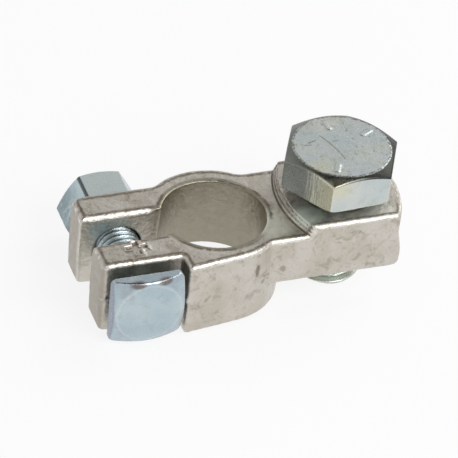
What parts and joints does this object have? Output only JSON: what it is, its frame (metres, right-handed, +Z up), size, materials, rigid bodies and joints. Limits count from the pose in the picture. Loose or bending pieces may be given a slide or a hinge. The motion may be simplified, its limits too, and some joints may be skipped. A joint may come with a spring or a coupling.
{
  "type": "battery terminal clamp",
  "caption": "Split cast clamp with a tapered post bore, a square-head clamp bolt and nut across its ears, and a large hexagon bolt on a raised pad for a cable lug.",
  "frame": {"origin": "on the post bore's axis, in the plane of the casting's underside", "axes": "+Z up along the post bore, +X along the cable arm, -Y the side of the square bolt head"},
  "size_m": [0.0582, 0.0328, 0.0275],
  "materials": {
    "tinned_casting": "satin tin plate",
    "zinc_steel": "zinc plate",
    "passivated_steel": "zinc plate with a slight yellow tint"
  },
  "bodies": {
    "casting": {"clamp_body": "tinned_casting"},
    "clamp_bolt": {"clamp_bolt": "zinc_steel"},
    "clamp_nut": {"clamp_nut": "zinc_steel"},
    "cable_bolt": {"cable_bolt": "passivated_steel"}
  },
  "joints": [
    {"name": "clamp_nut_turn", "type": "hinge", "parent": "casting", "child": "clamp_nut", "pos_m": [-0.0162, 0.0099, 0.0073], "axis": [0, 1, 0], "range_deg": [-605, 1152]},
    {"name": "clamp_bolt_draw", "type": "slide", "parent": "casting", "child": "clamp_bolt", "axis": [0, -1, 0], "range_m": [-0.0021, 0.004]},
    {"name": "cable_bolt_lift", "type": "slide", "parent": "casting", "child": "cable_bolt", "axis": [0, 0, 1], "range_m": [-0.0018, 0.008]}
  ],
  "couplings": [
    {"joint": "clamp_nut_turn", "follows": "clamp_bolt_draw", "rad_per_m": 5026.5}
  ]
}
